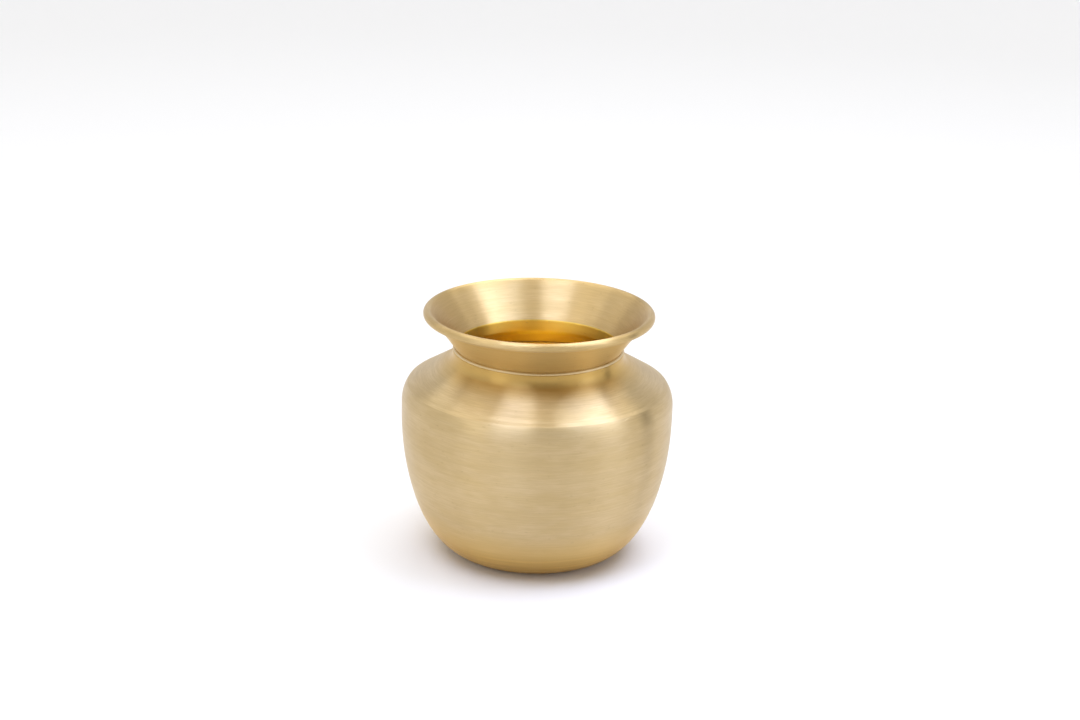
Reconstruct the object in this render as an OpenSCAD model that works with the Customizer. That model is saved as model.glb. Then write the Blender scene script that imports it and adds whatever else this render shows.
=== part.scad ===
// Kalash pot: a spun brass water pot with a flared neck, made of lapped and brazed sheet.
// Millimetres, +Z up, origin at the middle of the resting plane.
// Each sheet is one path of its outer face, drawn as it would be for a spinning lathe.

/* [Belly] */
// Widest diameter of the pot
belly_d = 120; // [110:1:130]
// Height at which the belly first reaches its widest diameter
belly_h = 64; // [56:0.5:70]
// Height of the straight wall above it
wall_h = 4.7; // [2:0.1:10]
// Outside radius of the wide bend in which the wall leans in below the edge
lean_bend = 14; // [8:0.5:20]
// Turn of the crisp edge between belly and shoulder, in degrees
edge_turn = 25; // [10:1:35]

/* [Base] */
// Diameter at which the belly starts to rise
base_d = 63; // [56:1:72]
// Diameter of the raised middle, inside the ring that the pot rests on
dish_d = 46; // [30:1:50]
// How far the middle is raised
dish_h = 0.8; // [0.4:0.1:1.5]
// Radius of the bends round the raised middle
dish_bend = 2.4; // [2:0.1:4]

/* [Shoulder] */
// Slope of the shoulder above the horizontal, in degrees
shoulder_slope = 30.5; // [26:0.5:34]
// Radius of the hollow bend where the shoulder turns up
collar_bend = 5; // [3:0.1:7]
// Height of the straight collar above that bend
collar_h = 1.2; // [1:0.1:2.5]

/* [Neck] */
// Inside diameter of the throat
throat_d = 71.7; // [66:0.1:76]
// Height from the collar's top to the start of the flare
flare_rise = 1.2; // [1:0.1:2]
// Radius of the bend at the start of the flare, on its hollow side
flare_bend = 0.6; // [0.4:0.1:2]
// Height from the start of the flare to the top of the rim
neck_h = 16.8; // [12:0.1:24]
// Outside diameter of the rolled rim
rim_d = 101.5; // [94:0.5:110]
// Diameter of the wire in the rim
wire_d = 1.8; // [1.2:0.1:2.4]

/* [Sheet and joints] */
// Thickness of the sheet
sheet_t = 0.9; // [0.7:0.05:1.2]
// Width of the seat in the bowl's lip that the shoulder lies on
belly_lap = 4; // [3:0.5:6]
// Inside radius of the tight bends of the edge and of the step in the bowl's lip
step_bend = 0.3; // [0.2:0.05:0.5]
// Depth to which the neck reaches below its flare
neck_lap = 4.6; // [4:0.1:6]
// Space in each lap, filled by the brazing metal
lap_gap = 0.1; // [0.06:0.01:0.16]
// Radius of the raised line of brazing metal round the neck
braze_r = 0.85; // [0.6:0.05:0.9]
// Height of the middle of that line above the collar's edge
braze_rise = 0.4; // [0.2:0.05:0.6]
// Distance at which the brazing metal stops short of a lap's end
braze_stop = 0.2; // [0.1:0.05:0.4]
// Space between the wire and the sheet rolled round it
wire_gap = 0.05; // [0.02:0.01:0.1]
// Space between the rolled edge and the underside of the neck
tuck_gap = 0.15; // [0.1:0.05:0.3]

/* [Hidden] */
$fn = 180;
bend_step = 5;    // degrees of a bend between two points of its outline
swell_step = 3;   // the same for the belly's quarter ellipse

sheet_colour = "#cfae72";
wire_colour = "#c29f5e";
braze_colour = "#e3cb98";

// The raised middle of the base comes down to the resting ring in two equal bends.
dish_turn = acos(1 - dish_h / (2 * dish_bend));
dish_run = dish_d / 2 - 2 * dish_bend * sin(dish_turn);

// The lip steps down by one sheet and the space for brazing metal, in two opposite bends.
lap_drop = sheet_t + lap_gap;
step_r = 2 * step_bend + sheet_t;
step_turn = acos(1 - lap_drop / step_r);
step_run = step_r * sin(step_turn);

top_turn = 90 - shoulder_slope;
neck_r = throat_d / 2 + sheet_t;
collar_r = neck_r + lap_gap + sheet_t;

// The rolled rim is tangent to the flare.
curl_r = wire_d / 2 + wire_gap;
bead_r = curl_r + sheet_t;

// A path is a list of stations [radius, height, heading]; the sheet lies on its left.
function last(path) = path[len(path) - 1];
function beside(s, d) = [s[0] - d * sin(s[2]), s[1] + d * cos(s[2])];
function along(s, d) = [s[0] + d * cos(s[2]), s[1] + d * sin(s[2]), s[2]];

function bend(s, r, turn) =
    let (side = sign(turn), centre = beside(s, side * r), n = ceil(abs(turn) / bend_step))
    [for (i = [1:n])
        let (heading = s[2] + turn * i / n)
        concat(beside([centre[0], centre[1], heading], -side * r), heading)];

function swell(s, width, height) =
    [for (a = [swell_step:swell_step:90])
        [s[0] + width * sin(a), s[1] + height * (1 - cos(a)), atan2(height * sin(a), width * cos(a))]];

function move(s, m) =
    m[0] == "run" ? [along(s, m[1])]
    : m[0] == "bend" ? bend(s, m[1], m[2])
    : swell(s, m[1], m[2]);

function trace(path, moves, i = 0) =
    i == len(moves) ? path : trace(concat(path, move(last(path), moves[i])), moves, i + 1);

// From the middle of the base, up the belly and over its edge
body_path = trace([[0, dish_h, 0]], [
    ["run", dish_run],
    ["bend", dish_bend, -dish_turn],
    ["bend", dish_bend, dish_turn],
    ["run", (base_d - dish_d) / 2],
    ["swell", (belly_d - base_d) / 2, belly_h],
    ["run", wall_h],
    ["bend", lean_bend, top_turn - edge_turn],
    ["bend", step_bend + sheet_t, edge_turn],
]);

// Down the step and along the seat for the shoulder
bowl_path = trace(body_path, [
    ["bend", step_bend + sheet_t, step_turn],
    ["bend", step_bend, -step_turn],
    ["run", belly_lap],
]);

// From the step up to the collar, in line with the belly's end at the seam
seam = last(body_path);
collar_tangent = collar_bend * tan(top_turn / 2);
shoulder_run = (seam[0] - collar_r) / cos(shoulder_slope) - collar_tangent - step_run;
shoulder_path = trace([along(seam, step_run)], [
    ["run", shoulder_run],
    ["bend", collar_bend, -top_turn],
    ["run", collar_h],
]);
collar_top = last(shoulder_path)[1];
collar_foot = collar_top - collar_h;

// Both ends of the flare are bends on its outer side, so it is their common tangent.
flare_z = collar_top + flare_rise;
flare_centre = [neck_r + flare_bend, flare_z];
wire_centre = [rim_d / 2 - bead_r, flare_z + neck_h - bead_r];
flare_way = wire_centre - flare_centre;
flare_heading = atan2(flare_way[1], flare_way[0]) + asin((curl_r - flare_bend) / norm(flare_way));
flare_run = sqrt(pow(norm(flare_way), 2) - pow(curl_r - flare_bend, 2));
curl_turn = 360 - acos((curl_r - tuck_gap) / bead_r);
neck_path = trace([[neck_r, flare_z - neck_lap, 90]], [
    ["run", neck_lap],
    ["bend", flare_bend, flare_heading - 90],
    ["run", flare_run],
    ["bend", curl_r, -curl_turn],
]);

module sheet(path) {
    polygon(concat(
        [for (s = path) beside(s, 0)],
        [for (i = [len(path) - 1:-1:0]) beside(path[i], sheet_t)]
    ));
}

// All that a path from the axis goes round
module within(path) {
    polygon(concat([for (s = path) beside(s, 0)], [[0, last(path)[1]]]));
}

module lower_bowl() {
    color(sheet_colour) rotate_extrude() sheet(bowl_path);
}

module shoulder() {
    color(sheet_colour) rotate_extrude() sheet(shoulder_path);
}

module neck() {
    color(sheet_colour) rotate_extrude() sheet(neck_path);
}

module rim_wire() {
    color(wire_colour) rotate_extrude() translate(wire_centre) circle(d = wire_d);
}

// Fills the groove over the step, up to the shoulder's edge, and the space between seat and shoulder
module belly_braze() {
    color(braze_colour) rotate_extrude() difference() {
        translate(beside(along(seam, braze_stop), 0)) rotate(seam[2]) {
            square([step_run - braze_stop, lap_drop + sheet_t / 2]);
            translate([0, sheet_t])
                square([step_run + belly_lap - 2 * braze_stop, lap_gap + sheet_t / 2]);
        }
        within(bowl_path);
    }
}

// Fills the space between collar and neck, and covers the collar's edge with a round line
module neck_braze() {
    color(braze_colour) rotate_extrude() difference() {
        union() {
            translate([collar_r - braze_r, collar_top + braze_rise]) circle(braze_r);
            translate([neck_r - sheet_t / 2, collar_foot + braze_stop])
                square([lap_drop, collar_h - braze_stop + braze_rise]);
        }
        sheet(shoulder_path);
        sheet(neck_path);
    }
}

lower_bowl();
shoulder();
neck();
rim_wire();
belly_braze();
neck_braze();
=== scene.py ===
import math
import bmesh
import bpy
from mathutils import Matrix, Vector
from mathutils.bvhtree import BVHTree


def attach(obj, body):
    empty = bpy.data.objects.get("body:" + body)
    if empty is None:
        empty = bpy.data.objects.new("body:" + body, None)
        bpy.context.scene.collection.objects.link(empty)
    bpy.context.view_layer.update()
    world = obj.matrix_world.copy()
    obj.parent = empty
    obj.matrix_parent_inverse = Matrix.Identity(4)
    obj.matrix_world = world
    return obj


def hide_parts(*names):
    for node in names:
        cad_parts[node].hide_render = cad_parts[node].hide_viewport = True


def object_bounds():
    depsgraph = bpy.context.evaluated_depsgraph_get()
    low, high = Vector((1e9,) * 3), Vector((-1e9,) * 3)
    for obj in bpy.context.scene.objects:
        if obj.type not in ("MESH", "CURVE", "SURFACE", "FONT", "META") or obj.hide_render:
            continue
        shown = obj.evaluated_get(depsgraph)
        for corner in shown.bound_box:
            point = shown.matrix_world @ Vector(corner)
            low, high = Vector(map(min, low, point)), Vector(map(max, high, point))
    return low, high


# A kalash pot of spun brass: bowl, shoulder and flared neck, lapped, brazed and brushed on the lathe.
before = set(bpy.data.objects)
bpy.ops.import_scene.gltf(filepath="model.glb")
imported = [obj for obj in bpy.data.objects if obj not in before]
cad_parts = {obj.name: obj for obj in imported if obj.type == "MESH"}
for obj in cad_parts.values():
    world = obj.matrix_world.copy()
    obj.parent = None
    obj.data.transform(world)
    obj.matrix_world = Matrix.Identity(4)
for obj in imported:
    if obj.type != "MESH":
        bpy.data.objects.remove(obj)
cadLow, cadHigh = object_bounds()
mm = 0.001
print("frame loaded:", sorted(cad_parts))


def nodeReach(name):
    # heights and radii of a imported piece, in millimetres
    points = [vertex.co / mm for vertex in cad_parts[name].data.vertices]
    radii = [math.hypot(point.x, point.y) for point in points]
    heights = [point.z for point in points]
    return {"low": min(heights), "high": max(heights), "inner": min(radii), "outer": max(radii)}


bowlReach = nodeReach("lower_bowl")
shoulderReach = nodeReach("shoulder")
neckReach = nodeReach("neck")


# Camera, settled by the image points

photoWide = 1080
photoHigh = 720
longSide = max(photoWide, photoHigh)
imagePoints = {
    "potLeft": 401.2,
    "potRight": 672.5,
    "potTop": 277.6,
    "potBottom": 572.8,
    "rimLeft": (422.6, 313.3),
    "rimRight": (655.6, 317.3),
    "neckLeft": (450.0, 344.4),
    "neckRight": (625.6, 349.9),
    "throatBack": (524.5, 319.8),
    "rimFront": (544.5, 343.8),
    "neckSeam": (542.5, 374.4),
    "bellySeam": (546.5, 425.9),
    "seamSmear": (583.0, 371.9),
    "seamDash": (599.5, 427.4),
    "seamKink": (629.0, 418.6),
}
shot = {
    "lens": 68.51,
    "sensor": 36.0,
    "distance": 904.4,
    "elevation": 18.57,
    "aimRight": 0.80,
    "aimHeight": 87.11,
    "roll": 1.385,
    "shiftX": 0.0,
    "shiftY": 0.0,
}


def makeCamera():
    tilt = math.radians(shot["elevation"])
    roll = math.radians(shot["roll"])
    forward = Vector((0, math.cos(tilt), -math.sin(tilt)))
    right = Vector((1, 0, 0))
    up = Vector((0, math.sin(tilt), math.cos(tilt)))
    across = right * math.cos(roll) + up * math.sin(roll)
    upward = up * math.cos(roll) - right * math.sin(roll)
    place = Matrix((across, upward, -forward)).transposed().to_4x4()
    aim = Vector((shot["aimRight"], 0, shot["aimHeight"])) * mm
    place.translation = aim - forward * shot["distance"] * mm
    data = bpy.data.cameras.new("photoCamera")
    data.sensor_fit = "AUTO"
    data.sensor_width = shot["sensor"]
    data.lens = shot["lens"]
    data.shift_x = shot["shiftX"]
    data.shift_y = shot["shiftY"]
    made = bpy.data.objects.new("photoCamera", data)
    made.matrix_world = place
    bpy.context.scene.collection.objects.link(made)
    bpy.context.scene.camera = made
    return place


cameraPlace = makeCamera()
cameraInverse = cameraPlace.inverted()
print("camera made")


def pixelOf(point):
    # where a point of the frame shows, in the photograph's pixels
    seen = cameraInverse @ point
    reach = longSide * shot["lens"] / shot["sensor"] / -seen.z
    x = photoWide / 2 - shot["shiftX"] * longSide + seen.x * reach
    y = photoHigh / 2 + shot["shiftY"] * longSide - seen.y * reach
    return x, y


search = {
    # where a ray that misses looks for the nearest surface, in shares of the camera's distance
    "start": 0.8,
    "step": 0.004,
    "count": 100,
}


def onSurface(x, y, tree):
    # the place in view under a pixel; where the ray misses, the surface's place nearest to it
    ray = Vector((
        x - photoWide / 2 + shot["shiftX"] * longSide,
        photoHigh / 2 - y + shot["shiftY"] * longSide,
        -longSide * shot["lens"] / shot["sensor"],
    ))
    direction = (cameraPlace.to_3x3() @ ray).normalized()
    start = cameraPlace.translation
    place, normal, face, far = tree.ray_cast(start, direction)
    if place is not None:
        return place, normal
    shares = [search["start"] + search["step"] * i for i in range(search["count"])]
    hits = [tree.find_nearest(start + direction * shot["distance"] * mm * share) for share in shares]
    nearest = min(hits, key=lambda hit: hit[3])
    return nearest[0], nearest[1]


# Outlines: a station is a radius, a height and a heading in degrees; the sheet lies on its left

sheet = {
    "thickness": 0.9,
    "edgeRound": 0.2,
    "edgeSteps": 6,         # steps of an outline round a cut edge
    "chordError": 0.004,    # how far a bend's outline may leave its arc
    "longestRun": 2.4,      # longest step of an outline along a straight stretch
    "swellSteps": 60,
}


def beside(station, distance):
    turn = math.radians(station[2])
    return station[0] - distance * math.sin(turn), station[1] + distance * math.cos(turn)


def along(station, distance):
    turn = math.radians(station[2])
    return station[0] + distance * math.cos(turn), station[1] + distance * math.sin(turn), station[2]


def run(station, length):
    count = max(1, math.ceil(length / sheet["longestRun"]))
    return [along(station, length * i / count) for i in range(1, count + 1)]


def bend(station, radius, turn):
    side = math.copysign(1, turn)
    centre = beside(station, side * radius)
    widest = 2 * math.degrees(math.acos(1 - sheet["chordError"] / radius))
    count = math.ceil(abs(turn) / widest)
    path = []
    for i in range(1, count + 1):
        heading = station[2] + turn * i / count
        path.append((*beside((*centre, heading), -side * radius), heading))
    return path


def swell(station, width, height):
    # a quarter of an ellipse, from level to upright
    path = []
    for i in range(1, sheet["swellSteps"] + 1):
        turn = math.pi / 2 * i / sheet["swellSteps"]
        heading = math.degrees(math.atan2(height * math.sin(turn), width * math.cos(turn)))
        place = station[0] + width * math.sin(turn), station[1] + height * (1 - math.cos(turn))
        path.append((*place, heading))
    return path


def trace(path, *moves):
    for move, *sizes in moves:
        path = path + move(path[-1], *sizes)
    return path


def sheetOutline(path, thickness):
    # rows of radius, height, way along the sheet and side, 0 outside and 1 inside
    soft = sheet["edgeRound"]
    steps = sheet["edgeSteps"]
    reach = [0.0]
    for before, after in zip(path, path[1:]):
        reach.append(reach[-1] + math.dist(before[:2], after[:2]))
    onAxis = path[0][0] == 0
    total = reach[-1]
    kept = [(s, r) for s, r in zip(path, reach) if r < total - soft and (onAxis or r > soft)]

    def roundedEnd(station, reached, sense):
        corner = []
        for i in range(steps + 1):
            turn = math.pi / steps * i
            outward = soft * (math.sin(turn) - 1)
            depth = soft * (1 - math.cos(turn))
            if i > steps / 2:
                depth = thickness - soft * (1 + math.cos(turn))
            place = beside(along(station, sense * outward), depth)
            corner.append((*place, reached, depth / thickness))
        return corner

    rows = [(*beside(s, 0), r, 0.0) for s, r in kept]
    rows += roundedEnd(path[-1], total, 1)
    rows += [(*beside(s, thickness), r, 1.0) for s, r in reversed(kept)]
    if not onAxis:
        rows += reversed(roundedEnd(path[0], 0.0, -1))
        rows.append(rows[0])
    return rows


# The body's path: dished base, belly, wall and crisp edge, then the seat for the shoulder

bowl = {
    "baseRadius": 31.5,
    "dishRadius": 23.0,
    "dishDepth": 0.8,
    "dishBend": 2.4,
    "bellyHeight": 64.0,
    "wallHeight": 4.7,
    "leanBend": 14.0,
    "edgeTurn": 25.0,
    "lapDrop": 1.0,
    "stepBend": 0.3,
    "lapLength": 4.0,
}
shoulder = {
    "slope": 30.5,
    "collarBend": 5.0,
    "collarHeight": 1.2,
}
neck = {
    "lapLength": 4.6,
    "flareBend": 0.6,
    "wireRadius": 0.9,
    "wireGap": 0.05,
    "tuckGap": 0.15,
}
thickness = sheet["thickness"]
dishTurn = math.degrees(math.acos(1 - bowl["dishDepth"] / (2 * bowl["dishBend"])))
dishRun = bowl["dishRadius"] - 2 * bowl["dishBend"] * math.sin(math.radians(dishTurn))
stepRadius = 2 * bowl["stepBend"] + thickness
stepTurn = math.degrees(math.acos(1 - bowl["lapDrop"] / stepRadius))
stepRun = stepRadius * math.sin(math.radians(stepTurn))
topTurn = 90 - shoulder["slope"]

bodyPath = trace(
    [(0.0, bowlReach["low"] + bowl["dishDepth"], 0.0)],
    (run, dishRun),
    (bend, bowl["dishBend"], -dishTurn),
    (bend, bowl["dishBend"], dishTurn),
    (run, bowl["baseRadius"] - bowl["dishRadius"]),
    (swell, bowlReach["outer"] - bowl["baseRadius"], bowl["bellyHeight"]),
    (run, bowl["wallHeight"]),
    (bend, bowl["leanBend"], topTurn - bowl["edgeTurn"]),
    (bend, bowl["stepBend"] + thickness, bowl["edgeTurn"]),
)
bowlPath = trace(
    bodyPath,
    (bend, bowl["stepBend"] + thickness, stepTurn),
    (bend, bowl["stepBend"], -stepTurn),
    (run, bowl["lapLength"]),
)
seam = bodyPath[-1]
collarRadius = shoulderReach["inner"] + thickness
collarTangent = shoulder["collarBend"] * math.tan(math.radians(topTurn / 2))
slantRun = (seam[0] - collarRadius) / math.cos(math.radians(shoulder["slope"]))
shoulderPath = trace(
    [along(seam, stepRun)],
    (run, slantRun - collarTangent - stepRun),
    (bend, shoulder["collarBend"], -topTurn),
    (run, shoulder["collarHeight"]),
)
neckRadius = neckReach["inner"] + thickness
curlRadius = neck["wireRadius"] + neck["wireGap"]
beadRadius = curlRadius + thickness
flareHeight = neckReach["low"] + neck["lapLength"]
flareCentre = Vector((neckRadius + neck["flareBend"], flareHeight))
wireCentre = Vector((neckReach["outer"] - beadRadius, neckReach["high"] - beadRadius))
flareWay = wireCentre - flareCentre
flareHeading = math.degrees(
    math.atan2(flareWay.y, flareWay.x) + math.asin((curlRadius - neck["flareBend"]) / flareWay.length)
)
flareRun = math.sqrt(flareWay.length_squared - (curlRadius - neck["flareBend"]) ** 2)
curlTurn = 360 - math.degrees(math.acos((curlRadius - neck["tuckGap"]) / beadRadius))
neckPath = trace(
    [(neckRadius, neckReach["low"], 90.0)],
    (run, neck["lapLength"]),
    (bend, neck["flareBend"], flareHeading - 90),
    (run, flareRun),
    (bend, curlRadius, -curlTurn),
)
print("outlines drawn:", len(bowlPath), len(shoulderPath), len(neckPath), "stations")


# The lathe: a Geometry Nodes tree that turns an outline about the axis, a little out of true

latheInputs = {
    "Segments": ("NodeSocketInt", 256),
    "Wander": ("NodeSocketFloat", 0.0),          # how far hand work leaves the true shape, always inwards
    "Wander Length": ("NodeSocketFloat", 0.02),
    "Tremble": ("NodeSocketFloat", 0.0),         # the same for small lumps
    "Tremble Length": ("NodeSocketFloat", 0.004),
    "Seed": ("NodeSocketFloat", 0.0),
    "Metal": ("NodeSocketMaterial", None),
}
# masks: a sheet's inner face, rubbed wear, painted shade, and tarnish that also carries painted shade at
# the foot
maskNames = ("inside", "handled", "sheltered", "tarnished")
weldReach = 0.002
sharpAngle = 40


def addNode(tree, kind, settings=(), inputs=()):
    # inputs are (socket, value or output)
    node = tree.nodes.new(kind)
    for name, value in settings:
        setattr(node, name, value)
    for socket, value in inputs:
        if isinstance(value, bpy.types.NodeSocket):
            tree.links.new(value, node.inputs[socket])
        else:
            node.inputs[socket].default_value = value
    return node


def mathNode(tree, operation, first, second=0.0, clamp=False):
    settings = [("operation", operation), ("use_clamp", clamp)]
    return addNode(tree, "ShaderNodeMath", settings, [(0, first), (1, second)]).outputs[0]


def vectorNode(tree, operation, first, second=(0, 0, 0), scale=None):
    inputs = [(0, first)] if operation in ("NORMALIZE", "SCALE", "LENGTH") else [(0, first), (1, second)]
    if scale is not None:
        inputs.append(("Scale", scale))
    made = addNode(tree, "ShaderNodeVectorMath", [("operation", operation)], inputs)
    return made.outputs["Value"] if operation in ("LENGTH", "DOT_PRODUCT") else made.outputs["Vector"]


def addInputs(tree, inputs):
    for name, (kind, value) in inputs.items():
        socket = tree.interface.new_socket(name, in_out="INPUT", socket_type=kind)
        if value is not None:
            socket.default_value = value


def startTree(name, inputs, taken, made):
    # a Geometry Nodes tree that takes a line or an outline and named sizes
    tree = bpy.data.node_groups.new(name, "GeometryNodeTree")
    tree.interface.new_socket(taken, in_out="INPUT", socket_type="NodeSocketGeometry")
    addInputs(tree, inputs)
    tree.interface.new_socket(made, in_out="OUTPUT", socket_type="NodeSocketGeometry")
    return tree, addNode(tree, "NodeGroupInput").outputs


def finishTree(tree, shape, metal, made):
    smooth = addNode(tree, "GeometryNodeSetShadeSmooth", inputs=[("Geometry", shape)]).outputs[0]
    real = addNode(tree, "GeometryNodeRealizeInstances", inputs=[("Geometry", smooth)]).outputs[0]
    finished = addNode(tree, "GeometryNodeSetMaterial", inputs=[("Geometry", real), ("Material", metal)])
    addNode(tree, "NodeGroupOutput", inputs=[(made, finished.outputs[0])])


def makeLathe():
    tree, given = startTree("lathe", latheInputs, "Outline", "Turned")
    outline = given["Outline"]
    segments = given["Segments"]
    size = addNode(tree, "GeometryNodeAttributeDomainSize", inputs=[("Geometry", outline)])
    around = mathNode(tree, "ADD", segments, 1)
    grid = addNode(tree, "GeometryNodeMeshGrid", inputs=[
        ("Vertices X", size.outputs["Point Count"]),
        ("Vertices Y", around),
    ])
    index = addNode(tree, "GeometryNodeInputIndex").outputs[0]
    halfOn = mathNode(tree, "ADD", index, 0.5)      # so that no rounding drops a row
    row = mathNode(tree, "FLOOR", mathNode(tree, "DIVIDE", halfOn, around))
    column = mathNode(tree, "SUBTRACT", index, mathNode(tree, "MULTIPLY", row, around))
    angle = mathNode(tree, "MULTIPLY", mathNode(tree, "DIVIDE", column, segments), math.tau)

    def sample(value, kind):
        return addNode(tree, "GeometryNodeSampleIndex", [("data_type", kind)], [
            ("Geometry", outline),
            ("Value", value),
            ("Index", row),
        ]).outputs["Value"]

    def named(name):
        return addNode(tree, "GeometryNodeInputNamedAttribute", [("data_type", "FLOAT")],
                       [("Name", name)]).outputs["Attribute"]

    place = sample(addNode(tree, "GeometryNodeInputPosition").outputs[0], "FLOAT_VECTOR")
    turned = addNode(tree, "ShaderNodeVectorRotate", [("rotation_type", "Z_AXIS")], [
        ("Vector", place),
        ("Angle", angle),
    ]).outputs[0]
    outwards = vectorNode(tree, "NORMALIZE", vectorNode(tree, "MULTIPLY", turned, (1, 1, 0)))

    def unevenness(depth, length):
        noise = addNode(tree, "ShaderNodeTexNoise", [("noise_dimensions", "4D")], [
            ("Vector", turned),
            ("W", given["Seed"]),
            ("Scale", mathNode(tree, "DIVIDE", 1.0, length)),
            ("Detail", 1.0),
        ]).outputs[0]
        return mathNode(tree, "MULTIPLY", noise, depth)

    depth = mathNode(
        tree, "ADD",
        unevenness(given["Wander"], given["Wander Length"]),
        unevenness(given["Tremble"], given["Tremble Length"]),
    )
    moved = vectorNode(tree, "SUBTRACT", turned, vectorNode(tree, "SCALE", outwards, scale=depth))
    shaped = addNode(tree, "GeometryNodeSetPosition", inputs=[
        ("Geometry", grid.outputs["Mesh"]),
        ("Position", moved),
    ]).outputs[0]
    for name in ("run", *maskNames):
        shaped = addNode(tree, "GeometryNodeStoreNamedAttribute", [("data_type", "FLOAT")], [
            ("Geometry", shaped),
            ("Name", name),
            ("Value", sample(named(name), "FLOAT")),
        ]).outputs[0]
    closed = addNode(tree, "GeometryNodeMergeByDistance", inputs=[
        ("Geometry", shaped),
        ("Distance", weldReach * mm),
    ]).outputs[0]
    finishTree(tree, closed, given["Metal"], "Turned")
    return tree


lathe = makeLathe()
print("lathe built")


def shapePiece(name, mesh, tree, sizes):
    # what a tree makes of a line or an outline, as a plain mesh with its faces outwards
    source = bpy.data.objects.new(name + "Source", mesh)
    bpy.context.scene.collection.objects.link(source)
    modifier = source.modifiers.new(tree.name, "NODES")
    modifier.node_group = tree
    for item in tree.interface.items_tree:
        if item.item_type == "SOCKET" and item.in_out == "INPUT" and item.name in sizes:
            modifier[item.identifier] = sizes[item.name]
    view = bpy.context.evaluated_depsgraph_get()
    mesh = bpy.data.meshes.new_from_object(source.evaluated_get(view))
    bpy.data.objects.remove(source)
    mesh.name = name
    shell = bmesh.new()
    shell.from_mesh(mesh)
    bmesh.ops.recalc_face_normals(shell, faces=shell.faces)
    shell.to_mesh(mesh)
    shell.free()
    mesh.set_sharp_from_angle(angle=math.radians(sharpAngle))
    piece = bpy.data.objects.new(name, mesh)
    bpy.context.scene.collection.objects.link(piece)
    return piece


def turnPiece(name, rows, sizes, metal, **masks):
    # rows are radius, height, run and side; a mask says how much a row is inside, handled and so on
    mesh = bpy.data.meshes.new(name + "Outline")
    mesh.from_pydata([(r * mm, 0, z * mm) for r, z, reached, side in rows], [], [])
    layers = {"run": [reached * mm for r, z, reached, side in rows]}
    for mask in maskNames:
        layers[mask] = [masks[mask](r, z, side) if mask in masks else 0.0 for r, z, reached, side in rows]
    for layer, values in layers.items():
        mesh.attributes.new(layer, "FLOAT", "POINT").data.foreach_set("value", values)
    piece = shapePiece(name, mesh, lathe, dict(sizes, Metal=metal))
    print("turned", name, len(piece.data.polygons), "faces")
    return piece


# Shader groups: each puts out masks or heights only

def makeGroup(name, inputs, outputs):
    tree = bpy.data.node_groups.new(name, "ShaderNodeTree")
    addInputs(tree, inputs)
    for outputName in outputs:
        tree.interface.new_socket(outputName, in_out="OUTPUT", socket_type="NodeSocketFloat")
    return tree, addNode(tree, "NodeGroupInput").outputs


def stretched(tree, place, run, length, pitch):
    # coordinates that change slowly round the axis and quickly along the sheet
    parts = addNode(tree, "ShaderNodeSeparateXYZ", inputs=[(0, place)]).outputs
    return addNode(tree, "ShaderNodeCombineXYZ", inputs=[
        (0, mathNode(tree, "DIVIDE", parts[0], length)),
        (1, mathNode(tree, "DIVIDE", parts[1], length)),
        (2, mathNode(tree, "DIVIDE", run, pitch)),
    ]).outputs[0]


def mapRange(tree, value, low, high, newLow=0.0, newHigh=1.0):
    settings = [("interpolation_type", "SMOOTHSTEP")]
    inputs = [("Value", value), ("From Min", low), ("From Max", high)]
    inputs += [("To Min", newLow), ("To Max", newHigh)]
    return addNode(tree, "ShaderNodeMapRange", settings, inputs).outputs[0]


def scaled(tree, value, factor, offset):
    settings = [("operation", "MULTIPLY_ADD")]
    return addNode(tree, "ShaderNodeMath", settings, [(0, value), (1, factor), (2, offset)]).outputs[0]


def makeBrushLines():
    swaysPerMetre = 30.0
    tree, given = makeGroup("brushLines", {
        "Place": ("NodeSocketVector", None),
        "Run": ("NodeSocketFloat", 0.0),
        "Pitch": ("NodeSocketFloat", 0.0002),
        "Length": ("NodeSocketFloat", 0.02),
        "Sway": ("NodeSocketFloat", 0.0),       # how far a line leaves its ring
        "Seed": ("NodeSocketFloat", 0.0),
    }, ["Lines"])
    swayNoise = addNode(tree, "ShaderNodeTexNoise", inputs=[
        ("Vector", given["Place"]),
        ("Scale", swaysPerMetre),
        ("Detail", 0.0),
    ]).outputs[0]
    sway = mathNode(tree, "MULTIPLY", mathNode(tree, "SUBTRACT", swayNoise, 0.5), given["Sway"])
    run = mathNode(tree, "ADD", given["Run"], sway)
    where = stretched(tree, given["Place"], run, given["Length"], given["Pitch"])
    lines = addNode(tree, "ShaderNodeTexNoise", [("noise_dimensions", "4D")], [
        ("Vector", where),
        ("W", given["Seed"]),
        ("Scale", 1.0),
        ("Detail", 2.0),
        ("Roughness", 0.6),
    ]).outputs[0]
    addNode(tree, "NodeGroupOutput", inputs=[("Lines", lines)])
    return tree


def makeMottle():
    softness = 0.15
    tree, given = makeGroup("mottle", {
        "Place": ("NodeSocketVector", None),
        "Run": ("NodeSocketFloat", 0.0),
        "Size": ("NodeSocketFloat", 0.02),
        "Stretch": ("NodeSocketFloat", 3.0),
        "Cover": ("NodeSocketFloat", 0.5),      # share of the surface that the patches take
        "Seed": ("NodeSocketFloat", 0.0),
    }, ["Patches"])
    long = mathNode(tree, "MULTIPLY", given["Size"], given["Stretch"])
    noise = addNode(tree, "ShaderNodeTexNoise", [("noise_dimensions", "4D")], [
        ("Vector", stretched(tree, given["Place"], given["Run"], long, given["Size"])),
        ("W", given["Seed"]),
        ("Scale", 1.0),
        ("Detail", 4.0),
        ("Roughness", 0.6),
    ]).outputs[0]
    level = mathNode(tree, "SUBTRACT", 1.0, given["Cover"])
    low = mathNode(tree, "SUBTRACT", level, softness)
    high = mathNode(tree, "ADD", level, softness)
    addNode(tree, "NodeGroupOutput", inputs=[("Patches", mapRange(tree, noise, low, high))])
    return tree


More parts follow.
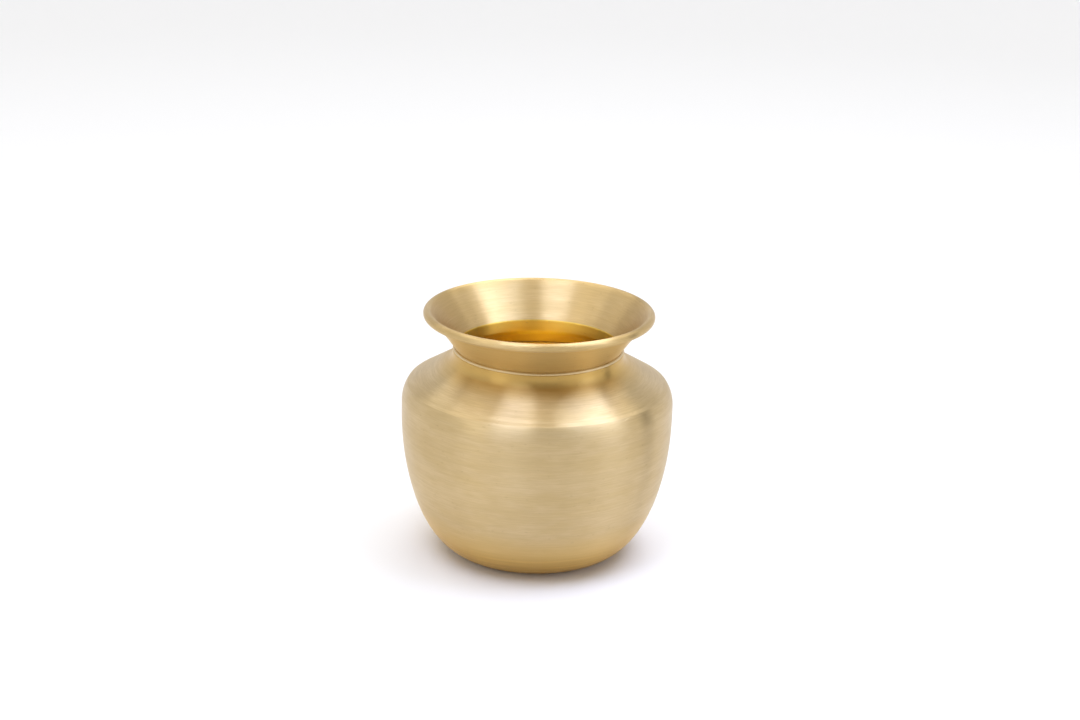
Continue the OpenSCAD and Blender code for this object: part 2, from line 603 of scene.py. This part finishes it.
def makeSpecks():
    spot = {"least": 0.5, "spread": 0.22, "blur": 0.12}     # in cells
    tree, given = makeGroup("specks", {
        "Place": ("NodeSocketVector", None),
        "Run": ("NodeSocketFloat", 0.0),
        "Size": ("NodeSocketFloat", 0.0006),
        "Stretch": ("NodeSocketFloat", 2.0),
        "Share": ("NodeSocketFloat", 0.1),      # share of the cells that hold a speck
    }, ["Specks"])
    long = mathNode(tree, "MULTIPLY", given["Size"], given["Stretch"])
    where = stretched(tree, given["Place"], given["Run"], long, given["Size"])
    cells = addNode(tree, "ShaderNodeTexVoronoi", inputs=[("Vector", where), ("Scale", 1.0)]).outputs
    chance = addNode(tree, "ShaderNodeSeparateColor", inputs=[(0, cells["Color"])]).outputs
    chosen = mathNode(tree, "LESS_THAN", chance[0], given["Share"])
    size = scaled(tree, chance[1], spot["spread"], spot["least"])
    past = mathNode(tree, "SUBTRACT", cells["Distance"], size)
    shape = mapRange(tree, past, 0.0, spot["blur"], 1.0, 0.0)
    addNode(tree, "NodeGroupOutput", inputs=[("Specks", mathNode(tree, "MULTIPLY", shape, chosen))])
    return tree


def makeRubbed():
    rub = {"low": 0.3, "high": 0.6, "least": 0.45}
    tree, given = makeGroup("rubbed", {
        "Place": ("NodeSocketVector", None),
        "Handled": ("NodeSocketFloat", 0.0),
        "Size": ("NodeSocketFloat", 0.004),
    }, ["Bright"])
    noise = addNode(tree, "ShaderNodeTexNoise", inputs=[
        ("Vector", given["Place"]),
        ("Scale", mathNode(tree, "DIVIDE", 1.0, given["Size"])),
        ("Detail", 3.0),
    ]).outputs[0]
    share = mapRange(tree, noise, rub["low"], rub["high"], rub["least"], 1.0)
    worn = mathNode(tree, "MULTIPLY", given["Handled"], share)
    addNode(tree, "NodeGroupOutput", inputs=[("Bright", worn)])
    return tree


brushLines = makeBrushLines()
mottle = makeMottle()
specks = makeSpecks()
rubbed = makeRubbed()
print("shader groups built")


# Brass

brassLook = {
    "colour": (0.71, 0.54, 0.295),
    "warm": (0.665, 0.49, 0.235),
    "bright": (0.80, 0.65, 0.41),
    "dull": (0.58, 0.42, 0.205),
    "shadeColour": (0.70, 0.46, 0.14),         # painted shade: darker, more orange brass at the belly's foot, in the corner under the neck and on and under the rim's bead
    "inner": (0.97, 0.70, 0.15),        # inside: unrubbed metal, painted brighter and more orange than the brass outside, standing in for the light that bounces round inside the pot
    # tarnish for specks and dirt, also used for painted shade at the belly's foot
    "tarnish": (0.30, 0.17, 0.07),
    "roughness": 0.36,
    "insideRoughness": 0.30,
    "anisotropy": 1.0,
    "coat": 0.12,
    "coatRoughness": 0.35,
    "finePitch": 0.32,
    "fineLength": 7.0,
    "middlePitch": 0.8,
    "middleLength": 34.0,
    "broadPitch": 3.2,
    "broadLength": 260.0,
    "sway": 1.2,
    "lineDepth": 0.012,
    "lineContrast": 1.1,
    "patchSize": 9.0,
    "patches": 0.75,
    "speckSize": 0.55,
    "speckShare": 0.008,
    "speckStrength": 0.12,
    "fineShare": 0.6,                   # fine and middle lines make the grain, broad ones add height
    "middleShare": 0.4,
    "broadShare": 0.5,
    "grainLow": 0.35,
    "grainHigh": 0.65,
    "lineTint": 0.45,
    "rubbedTint": 0.6,
    "streakLow": 0.35,
    "streakHigh": 0.62,
    "streakLeast": 0.25,
    "grainRoughness": 0.14,
    "patchRoughness": 0.03,
    "rubbedPolish": 0.05,
    "insideSmooth": 0.85,               # how much of the lines' height the inside lacks
}


def groupNode(tree, group, inputs):
    return addNode(tree, "ShaderNodeGroup", [("node_tree", group)], inputs).outputs[0]


def blend(tree, share, first, second):
    made = addNode(tree, "ShaderNodeMix", [("data_type", "RGBA")], [("Factor", share)])
    for socket, value in ((6, first), (7, second)):
        if isinstance(value, bpy.types.NodeSocket):
            tree.links.new(value, made.inputs[socket])
        else:
            made.inputs[socket].default_value = (*value, 1.0)
    return made.outputs[2]


def attributeOf(tree, name):
    return addNode(tree, "ShaderNodeAttribute", [("attribute_name", name)]).outputs["Fac"]


def makeBrass(name, changes=None, seed=0.0):
    look = dict(brassLook, **(changes or {}))
    material = bpy.data.materials.new(name)
    material.use_nodes = True
    material.diffuse_color = (*look["colour"], 1.0)
    tree = material.node_tree
    tree.nodes.clear()
    place = addNode(tree, "ShaderNodeTexCoord").outputs["Object"]
    run = attributeOf(tree, "run")
    inside, handled, sheltered, tarnished = [attributeOf(tree, mask) for mask in maskNames]

    def lines(kind, shift):
        return groupNode(tree, brushLines, [
            ("Place", place),
            ("Run", run),
            ("Pitch", look[kind + "Pitch"] * mm),
            ("Length", look[kind + "Length"] * mm),
            ("Sway", look["sway"] * mm),
            ("Seed", seed + shift),
        ])

    fine = lines("fine", 1.0)
    middle = lines("middle", 2.0)
    broad = lines("broad", 3.0)
    patches = groupNode(tree, mottle, [
        ("Place", place),
        ("Run", run),
        ("Size", look["patchSize"] * mm),
        ("Seed", seed + 4.0),
    ])
    spots = groupNode(tree, specks, [
        ("Place", place),
        ("Run", run),
        ("Size", look["speckSize"] * mm),
        ("Share", look["speckShare"]),
    ])
    bright = groupNode(tree, rubbed, [("Place", place), ("Handled", handled)])

    def times(first, second):
        return mathNode(tree, "MULTIPLY", first, second)

    grain = mathNode(tree, "ADD", times(fine, look["fineShare"]), times(middle, look["middleShare"]))
    height = mathNode(tree, "ADD", grain, times(broad, look["broadShare"]))
    height = times(height, mathNode(tree, "SUBTRACT", 1.0, times(inside, look["insideSmooth"])))
    lineShare = mapRange(tree, grain, look["grainLow"], look["grainHigh"], 0.0, look["lineContrast"])
    streaks = mapRange(tree, middle, look["streakLow"], look["streakHigh"], look["streakLeast"], 1.0)
    colour = blend(tree, times(patches, look["patches"]), look["colour"], look["warm"])
    for share, tint in (
        (times(lineShare, look["lineTint"]), "dull"),
        # painted shade
        (sheltered, "shadeColour"),
        # painted bounce light: the inside brighter and more orange
        (inside, "inner"),
        (times(bright, look["rubbedTint"]), "bright"),
        (times(spots, look["speckStrength"]), "tarnish"),
        # dirt under the bead, and painted shade at the belly's foot
        (times(tarnished, streaks), "tarnish"),
    ):
        colour = blend(tree, share, colour, look[tint])

    rough = scaled(tree, grain, look["grainRoughness"], look["roughness"] - look["grainRoughness"] / 2)
    rough = mathNode(tree, "ADD", rough, times(patches, look["patchRoughness"]))
    rough = mathNode(tree, "ADD", rough, times(inside, look["insideRoughness"] - look["roughness"]))
    rough = mathNode(tree, "SUBTRACT", rough, times(bright, look["rubbedPolish"]))

    bump = addNode(tree, "ShaderNodeBump", inputs=[
        ("Strength", 1.0),
        ("Distance", look["lineDepth"] * mm),
        ("Height", height),
    ]).outputs[0]
    aroundAxis = vectorNode(tree, "NORMALIZE", vectorNode(tree, "CROSS_PRODUCT", (0, 0, 1), place))
    shader = addNode(tree, "ShaderNodeBsdfPrincipled", inputs=[
        ("Base Color", colour),
        ("Metallic", 1.0),
        ("Roughness", rough),
        ("Anisotropic", look["anisotropy"]),
        ("Anisotropic Rotation", 0.25),
        ("Tangent", aroundAxis),
        ("Coat Weight", times(mathNode(tree, "SUBTRACT", 1.0, inside), look["coat"])),
        ("Coat Roughness", look["coatRoughness"]),
        ("Normal", bump),
    ])
    addNode(tree, "ShaderNodeOutputMaterial", inputs=[("Surface", shader.outputs[0])])
    return material


# Pieces

def dress(piece, slot, *nodes):
    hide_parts(*nodes)
    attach(piece, "root")


def near(value, middle, width):
    return max(0.0, 1 - abs(value - middle) / width)


# how far hand spinning leaves every sheet out of true
handMade = {"Segments": 256, "Wander": 0.16 * mm, "Wander Length": 24 * mm, "Seed": 7.0}
bowlFinish = {
    "groundHeight": 1.0,    # below this the base is rubbed, over the ring's width
    "ringWidth": 6.0,
    "edgeWidth": 3.0,
    "edgeShare": 0.1,
    "footHeight": 26.0,     # painted shade: up to here the belly is darker than above
    "footShare": 1.6,
    "footShade": 0.6,
    # painted shade at the foot, darker still, in streaks of the tarnish colour
    "footShadeHeight": 16.0,
}


def bowlHandled(radius, height, side):
    # the ring that the pot rests on, and a little of the edge
    if side > 0.5:
        return 0.0
    middle = (bowl["baseRadius"] + bowl["dishRadius"]) / 2
    ring = near(radius, middle, bowlFinish["ringWidth"]) if height < bowlFinish["groundHeight"] else 0.0
    return max(ring, bowlFinish["edgeShare"] * near(height, seam[1], bowlFinish["edgeWidth"]))


def inner(radius, height, side):
    # all of a sheet's inner face
    return side


# painted shade: the belly darker and more orange towards the foot
def bowlPaintedShade(radius, height, side):
    return (1 - side) * min(1.0, bowlFinish["footShare"] * near(height, 0.0, bowlFinish["footHeight"]))


# painted shade: the foot darker still, in streaks of the tarnish colour
def bowlFootShade(radius, height, side):
    return (1 - side) * bowlFinish["footShade"] * near(height, 0.0, bowlFinish["footShadeHeight"])


bowlPiece = turnPiece(
    "bowl", sheetOutline(bowlPath, thickness), handMade, makeBrass("bowlBrass"),
    handled=bowlHandled, sheltered=bowlPaintedShade, tarnished=bowlFootShade, inside=inner,
)
dress(bowlPiece, "spun_brass", "lower_bowl")

shoulderFinish = {
    "cornerReach": 9.0,     # how far the painted shade in the corner under the neck reaches out
    "brass": {"lineDepth": 0.022, "lineContrast": 1.6},
}


# painted shade in the corner under the neck
def shoulderPaintedShade(radius, height, side):
    return (1 - side) * near(radius, collarRadius, shoulderFinish["cornerReach"])


shoulderBrass = makeBrass("shoulderBrass", shoulderFinish["brass"], 10.0)
shoulderPiece = turnPiece(
    "shoulderCone", sheetOutline(shoulderPath, thickness), handMade, shoulderBrass,
    sheltered=shoulderPaintedShade, inside=inner,
)
dress(shoulderPiece, "spun_brass", "shoulder")

neckFinish = {
    # painted shade on the rim's bead, on the flare's outer face under it, and a little on the flare's
    # inner face
    "beadWidth": 0.6,
    "beadShade": 0.35,
    "flareShare": 0.65,
    "coneShare": 0.2,
    "throatEdge": 0.75,     # how far up the bend at the throat the inside's colour reaches
    "dirtShare": 0.8,
    "dirtPlace": 0.5,
    "dirtWidth": 0.7,
    "brass": {"lineDepth": 0.017, "lineContrast": 1.4, "broadPitch": 1.6},
}


def pastBead(radius, height):
    return math.dist((radius, height), wireCentre) - beadRadius


def neckInner(radius, height, side):
    return side if height < flareHeight + neckFinish["throatEdge"] else 0.0


# painted shade: the bead, the flare's outer face and a little of its inner face
def neckPaintedShade(radius, height, side):
    if pastBead(radius, height) < neckFinish["beadWidth"]:
        return neckFinish["beadShade"]
    return neckFinish["coneShare"] if side > 0.5 else neckFinish["flareShare"]


def neckTarnished(radius, height, side):
    # dirt that polishing leaves under the bead
    if side > 0.5 or height > wireCentre.y:
        return 0.0
    dirt = near(pastBead(radius, height), neckFinish["dirtPlace"], neckFinish["dirtWidth"])
    return neckFinish["dirtShare"] * dirt


neckBrass = makeBrass("neckBrass", neckFinish["brass"], 20.0)
neckPiece = turnPiece(
    "flaredNeck", sheetOutline(neckPath, thickness), handMade, neckBrass,
    sheltered=neckPaintedShade, inside=neckInner, tarnished=neckTarnished,
)
dress(neckPiece, "spun_brass", "neck")

# The wire in the rim, drawn and bare

wire = {
    "steps": 24,
    "brass": {
        "colour": (0.70, 0.52, 0.26),
        "roughness": 0.36,
        "anisotropy": 0.2,
        "coat": 0.0,
        "lineContrast": 0.3,
    },
}
wireRows = []
for i in range(wire["steps"] + 1):
    turn = math.tau * i / wire["steps"]
    place = wireCentre + Vector((math.cos(turn), math.sin(turn))) * neck["wireRadius"]
    wireRows.append((place.x, place.y, neck["wireRadius"] * turn, 0.0))
wirePiece = turnPiece("rimWire", wireRows, {"Segments": 256}, makeBrass("drawnBrass", wire["brass"], 30.0))
dress(wirePiece, "wire_brass", "rim_wire")

# Brazing metal: a raised line round the collar

braze = {
    "radius": 0.85,
    "rise": 0.4,
    "sunk": 0.3,            # how far the line's foot goes into the collar's end
    "steps": 12,
    "endTurn": -35,         # where the line's round face ends, in degrees
    "footStep": 0.1,
    "footRun": 0.4,
    "brass": {
        "colour": (0.74, 0.585, 0.335),
        "roughness": 0.44,
        "anisotropy": 0.3,
        "lineContrast": 0.35,
    },
}
collarTop = shoulderPath[-1][1]
brazeCentre = Vector((collarRadius - braze["radius"], collarTop + braze["rise"]))
lineRoot = neckRadius - thickness / 3
lineTurn = math.degrees(math.acos((neckRadius - brazeCentre.x) / braze["radius"]))
neckLine = []
for i in range(braze["steps"] + 1):
    turn = math.radians(lineTurn + (braze["endTurn"] - lineTurn) * i / braze["steps"])
    place = brazeCentre + Vector((math.cos(turn), math.sin(turn))) * braze["radius"]
    neckLine.append((place.x, place.y, braze["radius"] * (math.radians(lineTurn) - turn), 0.0))
foot = collarTop - braze["sunk"]
neckLine.append((neckLine[-1][0] - braze["footStep"], foot, neckLine[-1][2] + braze["footRun"], 0.0))
neckLine.append((lineRoot, foot, neckLine[-1][2] + braze["footRun"], 0.0))
neckLine.append((lineRoot, neckLine[0][1], 0.0, 0.0))
neckLine.append(neckLine[0])
brazeMetal = makeBrass("brazingMetal", braze["brass"], 40.0)
lumpy = {**handMade, "Segments": 360, "Tremble": 0.14 * mm, "Tremble Length": 3.5 * mm}
neckBraze = turnPiece("neckBrazing", neckLine, lumpy, brazeMetal)
dress(neckBraze, "brazing_metal", "neck_braze")

# The filed band over the step in the belly

band = {
    "sink": 0.004,          # how far filing leaves it under the sheet
    "start": 0.05,
    "beyond": 0.25,         # how far it goes on under the shoulder's edge
    "rootStart": -0.05,
    "rootDepth": 0.3,
}
bandMiddle = along(seam, stepRun / 2)
bandEnd = along(seam, stepRun + band["beyond"])
bandRows = [
    (*beside(along(seam, band["start"]), band["sink"]), 0.0, 0.0),
    (*beside(bandMiddle, band["sink"]), stepRun / 2, 0.0),
    (*beside(bandEnd, band["sink"]), stepRun, 0.0),
    (*beside(bandEnd, bowl["lapDrop"]), stepRun + bowl["lapDrop"], 0.0),
    (*beside(bandMiddle, bowl["lapDrop"]), stepRun / 2, 0.0),
    (*beside(along(seam, band["rootStart"]), band["rootDepth"]), 0.0, 0.0),
]
bandRows.append(bandRows[0])
bellyBraze = turnPiece("bellyBrazing", bandRows, handMade, makeBrass("filedBrass", seed=50.0))
dress(bellyBraze, "brazing_metal", "belly_braze")

pieces = [bowlPiece, shoulderPiece, neckPiece, wirePiece, neckBraze, bellyBraze]


def surfaceTree(objects):
    corners = []
    faces = []
    for item in objects:
        start = len(corners)
        corners += [vertex.co.copy() for vertex in item.data.vertices]
        faces += [tuple(start + i for i in face.vertices) for face in item.data.polygons]
    return BVHTree.FromPolygons(corners, faces)


wholeTree = surfaceTree(pieces)

# Small runs of brazing metal left beside the seams, each a thin bead that lies sunk in the sheet

markInputs = {
    "Radius": ("NodeSocketFloat", 0.0003),
    "Roughness": ("NodeSocketFloat", 0.3),      # share of the radius that comes and goes along the bead
    "Seed": ("NodeSocketFloat", 0.0),
    "Metal": ("NodeSocketMaterial", None),
}
marks = {
    # length runs round the axis; drop is how far a bead's right end lies below its left end
    "seamSmear": {"length": 15.0, "radius": 0.9, "sunk": 0.70, "drop": 0.0, "wander": 0.12, "seed": 3.0},
    "seamDash": {"length": 3.2, "radius": 0.34, "sunk": 0.16, "drop": 0.1, "wander": 0.05, "seed": 5.0},
    "seamKink": {"length": 6.5, "radius": 0.32, "sunk": 0.14, "drop": -0.5, "wander": 0.25, "seed": 8.0},
}
bead = {
    "steps": 24,
    "sides": 12,
    "taper": 0.5,           # power of the sine that a bead's thickness follows
    "lumps": 6.0,
    "swing": 7.0,           # how far its wander turns from end to end, in radians
}


def makeMarkTree():
    tree, given = startTree("seamMark", markInputs, "Line", "Bead")
    curve = addNode(tree, "GeometryNodeMeshToCurve", inputs=[("Mesh", given["Line"])]).outputs[0]
    share = addNode(tree, "GeometryNodeSplineParameter").outputs["Factor"]
    swelling = mathNode(tree, "SINE", mathNode(tree, "MULTIPLY", share, math.pi))
    taper = mathNode(tree, "POWER", swelling, bead["taper"])
    noise = addNode(tree, "ShaderNodeTexNoise", [("noise_dimensions", "1D")], [
        ("W", mathNode(tree, "ADD", mathNode(tree, "MULTIPLY", share, bead["lumps"]), given["Seed"])),
        ("Scale", 1.0),
        ("Detail", 1.0),
    ]).outputs[0]
    uneven = mathNode(tree, "SUBTRACT", 1.0, mathNode(tree, "MULTIPLY", noise, given["Roughness"]))
    radius = mathNode(tree, "MULTIPLY", mathNode(tree, "MULTIPLY", taper, uneven), given["Radius"])
    sides = [("Resolution", bead["sides"]), ("Radius", 1.0)]
    circle = addNode(tree, "GeometryNodeCurvePrimitiveCircle", inputs=sides).outputs["Curve"]
    shape = addNode(tree, "GeometryNodeCurveToMesh", inputs=[
        ("Curve", curve),
        ("Profile Curve", circle),
        ("Scale", radius),
        ("Fill Caps", True),
    ]).outputs[0]
    finishTree(tree, shape, given["Metal"], "Bead")
    return tree


markTree = makeMarkTree()


def makeMark(name, look):
    place, normal = onSurface(*imagePoints[name], wholeTree)
    radius = math.hypot(place.x, place.y)
    outwards = Vector((place.x, place.y, 0)).normalized()
    upSlope = Vector((0, 0, 1)).cross(outwards).cross(normal).normalized()
    upSlope = upSlope * math.copysign(1, upSlope.z)
    line = []
    for i in range(bead["steps"] + 1):
        share = i / bead["steps"] - 0.5
        turn = Matrix.Rotation(share * look["length"] * mm / radius, 3, "Z")
        rise = look["wander"] * math.sin(look["seed"] + bead["swing"] * share) - look["drop"] * share
        line.append(turn @ (place + upSlope * rise * mm - normal * look["sunk"] * mm))
    mesh = bpy.data.meshes.new(name + "Line")
    mesh.from_pydata(line, [(i, i + 1) for i in range(bead["steps"])], [])
    sizes = {"Radius": look["radius"] * mm, "Seed": look["seed"], "Metal": brazeMetal}
    piece = shapePiece(name, mesh, markTree, sizes)
    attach(piece, "root")
    return piece


markPieces = {name: makeMark(name, look) for name, look in marks.items()}
pieces += markPieces.values()
print("pieces made:", len(pieces))


# Studio: a pale round floor that rises into a wall, soft panels above, a black card and a dark place

studio = {
    "floorRadius": 1400.0,
    "floorSteps": 14,
    "cove": 500.0,
    "coveSteps": 12,
    "wallHeight": 900.0,
    "paper": (0.90, 0.88, 0.85),
    "whiteNear": 0.0,       # how much white of its own the paper shows at the pot's foot, in its shade
    "whiteFar": 0.65,
    "shadeReach": 42.0,
    "whiteReach": 120.0,
    "worldLevel": 0.72,
}


def makePaper():
    material = bpy.data.materials.new("paleFloor")
    material.use_nodes = True
    tree = material.node_tree
    tree.nodes.clear()
    rays = addNode(tree, "ShaderNodeLightPath").outputs
    seen = mathNode(tree, "ADD", rays["Is Camera Ray"], rays["Is Glossy Ray"])
    seen = mathNode(tree, "ADD", seen, rays["Is Transmission Ray"], True)
    place = addNode(tree, "ShaderNodeTexCoord").outputs["Object"]
    far = vectorNode(tree, "LENGTH", place)
    reach = [studio["shadeReach"] * mm, studio["whiteReach"] * mm]
    white = mapRange(tree, far, *reach, studio["whiteNear"], studio["whiteFar"])
    share = mathNode(tree, "MULTIPLY", seen, white)
    paper = addNode(tree, "ShaderNodeBsdfDiffuse", inputs=[("Color", (*studio["paper"], 1.0))])
    glow = addNode(tree, "ShaderNodeEmission", inputs=[("Color", (1, 1, 1, 1)), ("Strength", 1.0)])
    mixed = addNode(tree, "ShaderNodeMixShader", inputs=[
        (0, share),
        (1, paper.outputs[0]),
        (2, glow.outputs[0]),
    ])
    addNode(tree, "ShaderNodeOutputMaterial", inputs=[("Surface", mixed.outputs[0])])
    return material


floorPath = [(0.0, 0.0, 0.0)]
for i in range(1, studio["floorSteps"] + 1):
    floorPath.append((studio["floorRadius"] * i / studio["floorSteps"], 0.0, 0.0))
for i in range(1, studio["coveSteps"] + 1):
    turn = math.radians(90 * i / studio["coveSteps"])
    floorPath.append((
        studio["floorRadius"] + studio["cove"] * math.sin(turn),
        studio["cove"] * (1 - math.cos(turn)),
        0.0,
    ))
floorPath.append((floorPath[-1][0], studio["wallHeight"], 0.0))
floorRows = [(r, z, r, 0.0) for r, z, heading in floorPath]
floor = turnPiece("paleFloor", floorRows, {"Segments": 96}, makePaper())

panels = {
    # azimuth 0 is the camera's side and 90 the right; level is the brightness of the panel's face
    "leftKey": dict(azimuth=-33, elevation=64, far=1150, across=540, level=4.4, tint="cool"),
    "rightKey": dict(azimuth=90, elevation=65, far=1150, across=660, level=4.3, tint="cooler"),
    "topPanel": dict(azimuth=18, elevation=74, far=1150, across=560, level=1.9, tint="plain"),
    "backPanel": dict(azimuth=174, elevation=54, far=1200, across=640, level=2.3, tint="plain"),
    "backLeftPanel": dict(azimuth=-140, elevation=46, far=1200, across=560, level=1.1, tint="plain"),
    "backRightPanel": dict(azimuth=134, elevation=50, far=1200, across=520, level=1.6, tint="plain"),
    "leftPanel": dict(azimuth=-100, elevation=60, far=1200, across=620, level=1.4, tint="plain"),
    "frontLeftPanel": dict(azimuth=-53, elevation=28, far=1300, across=560, level=0.9, tint="plain"),
    "frontRightPanel": dict(azimuth=71, elevation=26, far=1300, across=560, level=1.0, tint="cool"),
}
tints = {"plain": (1.0, 1.0, 1.0), "cool": (0.91, 1.02, 1.42), "cooler": (0.93, 1.07, 1.5)}


def fromAngles(azimuth, elevation, far):
    turn = math.radians(azimuth)
    rise = math.radians(elevation)
    return Vector((
        math.sin(turn) * math.cos(rise),
        -math.cos(turn) * math.cos(rise),
        math.sin(rise),
    )) * far * mm


def makePanel(name, look):
    data = bpy.data.lights.new(name, "AREA")
    data.shape = "DISK"
    data.size = look["across"] * mm
    data.color = tints[look["tint"]]
    area = math.pi * data.size ** 2 / 4
    data.energy = look["level"] * math.pi * area
    lamp = bpy.data.objects.new(name, data)
    middle = Vector((0, 0, cadHigh.z / 2))
    offset = fromAngles(look["azimuth"], look["elevation"], look["far"])
    lamp.location = middle + offset
    lamp.rotation_euler = offset.to_track_quat("Z", "Y").to_euler()
    lamp.visible_camera = False
    bpy.context.scene.collection.objects.link(lamp)


for name, look in panels.items():
    makePanel(name, look)


blackCard = {"azimuth": 100.0, "far": 480.0, "width": 100.0, "low": 60.0, "high": 330.0, "shade": 0.02}


def makeCard():
    # a narrow black card on the right, for the dark streak down the belly
    middle = fromAngles(blackCard["azimuth"], 0, blackCard["far"])
    turn = math.radians(blackCard["azimuth"])
    across = Vector((math.cos(turn), math.sin(turn), 0)) * blackCard["width"] / 2 * mm
    corners = []
    for side, end in ((-1, "low"), (1, "low"), (1, "high"), (-1, "high")):
        corners.append(middle + across * side + Vector((0, 0, blackCard[end] * mm)))
    mesh = bpy.data.meshes.new("blackCard")
    mesh.from_pydata(corners, [], [(0, 1, 2, 3)])
    material = bpy.data.materials.new("blackCard")
    material.use_nodes = True
    shader = material.node_tree.nodes["Principled BSDF"]
    shade = blackCard["shade"]
    shader.inputs["Base Color"].default_value = (shade, shade, shade, 1.0)
    shader.inputs["Roughness"].default_value = 0.9
    mesh.materials.append(material)
    card = bpy.data.objects.new("blackCard", mesh)
    bpy.context.scene.collection.objects.link(card)
    card.visible_camera = False
    card.visible_shadow = False


makeCard()

darkPlace = {
    # a darker part of the sky behind the camera, which the metal shows as soft shade
    "azimuth": 10,
    "elevation": 34,
    "halfWidth": 32,
    "halfHeight": 20,
    "softAcross": 0.5,      # how much of a half's size its blur takes, to either side
    "softUp": 0.3,
}


def makeWorld():
    world = bpy.data.worlds.new("studio")
    bpy.context.scene.world = world
    world.use_nodes = True
    tree = world.node_tree
    tree.nodes.clear()
    way = addNode(tree, "ShaderNodeTexCoord").outputs["Generated"]
    turn = math.radians(darkPlace["azimuth"])
    forth = vectorNode(tree, "DOT_PRODUCT", way, (math.sin(turn), -math.cos(turn), 0))
    aside = vectorNode(tree, "DOT_PRODUCT", way, (math.cos(turn), math.sin(turn), 0))
    up = addNode(tree, "ShaderNodeSeparateXYZ", inputs=[(0, way)]).outputs[2]
    bearing = mathNode(tree, "ARCTAN2", aside, forth)
    rise = mathNode(tree, "SUBTRACT", mathNode(tree, "ARCSINE", up), math.radians(darkPlace["elevation"]))

    def within(angle, half, soft):
        size = math.radians(darkPlace[half])
        blur = size * darkPlace[soft]
        return mapRange(tree, mathNode(tree, "ABSOLUTE", angle), size - blur, size + blur, 1, 0)

    wide = within(bearing, "halfWidth", "softAcross")
    tall = within(rise, "halfHeight", "softUp")
    lit = mathNode(tree, "SUBTRACT", 1.0, mathNode(tree, "MULTIPLY", wide, tall))
    level = mathNode(tree, "MULTIPLY", studio["worldLevel"], lit)
    light = addNode(tree, "ShaderNodeBackground", inputs=[("Color", (1, 1, 1, 1)), ("Strength", level)])
    addNode(tree, "ShaderNodeOutputWorld", inputs=[("Surface", light.outputs[0])])


makeWorld()
bpy.context.scene.view_settings.view_transform = "Standard"
print("studio set")


# Where each thing shows, one entry for each image point

bpy.context.view_layer.update()
clearance = 0.25        # how near a point may lie behind the surface and still show
ringReach = 0.35
frontReach = 2          # in pixels
middleX = imagePoints["rimFront"][0]


def shows(point):
    way = point - cameraPlace.translation
    hit = wholeTree.ray_cast(cameraPlace.translation, way.normalized(), way.length - clearance * mm)
    return hit[0] is None


def anywhere(item, vertex, pixel):
    return True


def outermost(axis, sign, objects, keep=anywhere):
    # the vertex that shows farthest left, right, up or down
    reached = []
    for item in objects:
        for vertex in item.data.vertices:
            pixel = pixelOf(vertex.co)
            if keep(item, vertex, pixel):
                reached.append((sign * pixel[axis], pixel, vertex.co))
    reached.sort(key=lambda entry: entry[0], reverse=True)
    for order, pixel, place in reached:
        if shows(place):
            return pixel
    return reached[0][1]


def nearestOnRing(name, item, radius, height):
    # the vertex that shows nearest to an image point, among those of one ring of a piece
    best = (math.inf, (0.0, 0.0))
    for vertex in item.data.vertices:
        place = vertex.co / mm
        if abs(place.z - height) > ringReach or abs(math.hypot(place.x, place.y) - radius) > ringReach:
            continue
        pixel = pixelOf(vertex.co)
        far = math.dist(pixel, imagePoints[name])
        if far < best[0] and shows(vertex.co):
            best = (far, pixel)
    return best[1]


def middleOf(item):
    # the middle of what shows of a small piece
    seen = [pixelOf(vertex.co) for vertex in item.data.vertices if shows(vertex.co)]
    if not seen:
        return 0.0, 0.0
    columns, rows = zip(*seen)
    return (min(columns) + max(columns)) / 2, (min(rows) + max(rows)) / 2


def outerSide(sign):
    # keeps a piece's outer face, to the left or the right of the pot's middle
    def keep(item, vertex, pixel):
        outer = item.data.attributes["inside"].data[vertex.index].value < 0.5
        return outer and sign * (pixel[0] - middleX) > 0
    return keep


def frontBead(item, vertex, pixel):
    place = vertex.co / mm
    onBead = math.dist((math.hypot(place.x, place.y), place.z), wireCentre) < beadRadius + ringReach
    return onBead and place.y < 0 and abs(pixel[0] - middleX) < frontReach


found = {
    "potLeft": outermost(0, -1, pieces)[0],
    "potRight": outermost(0, 1, pieces)[0],
    "potTop": outermost(1, -1, pieces)[1],
    "potBottom": outermost(1, 1, pieces)[1],
    "rimLeft": outermost(0, -1, [neckPiece]),
    "rimRight": outermost(0, 1, [neckPiece]),
    "neckLeft": outermost(1, -1, [shoulderPiece], outerSide(-1)),
    "neckRight": outermost(1, -1, [shoulderPiece], outerSide(1)),
    "throatBack": nearestOnRing("throatBack", neckPiece, neckRadius - thickness, flareHeight),
    "rimFront": outermost(1, -1, [neckPiece], frontBead),
    "neckSeam": nearestOnRing("neckSeam", neckBraze, collarRadius, brazeCentre.y),
    "bellySeam": nearestOnRing("bellySeam", bellyBraze, seam[0], seam[1]),
}
for name, piece in markPieces.items():
    found[name] = middleOf(piece)
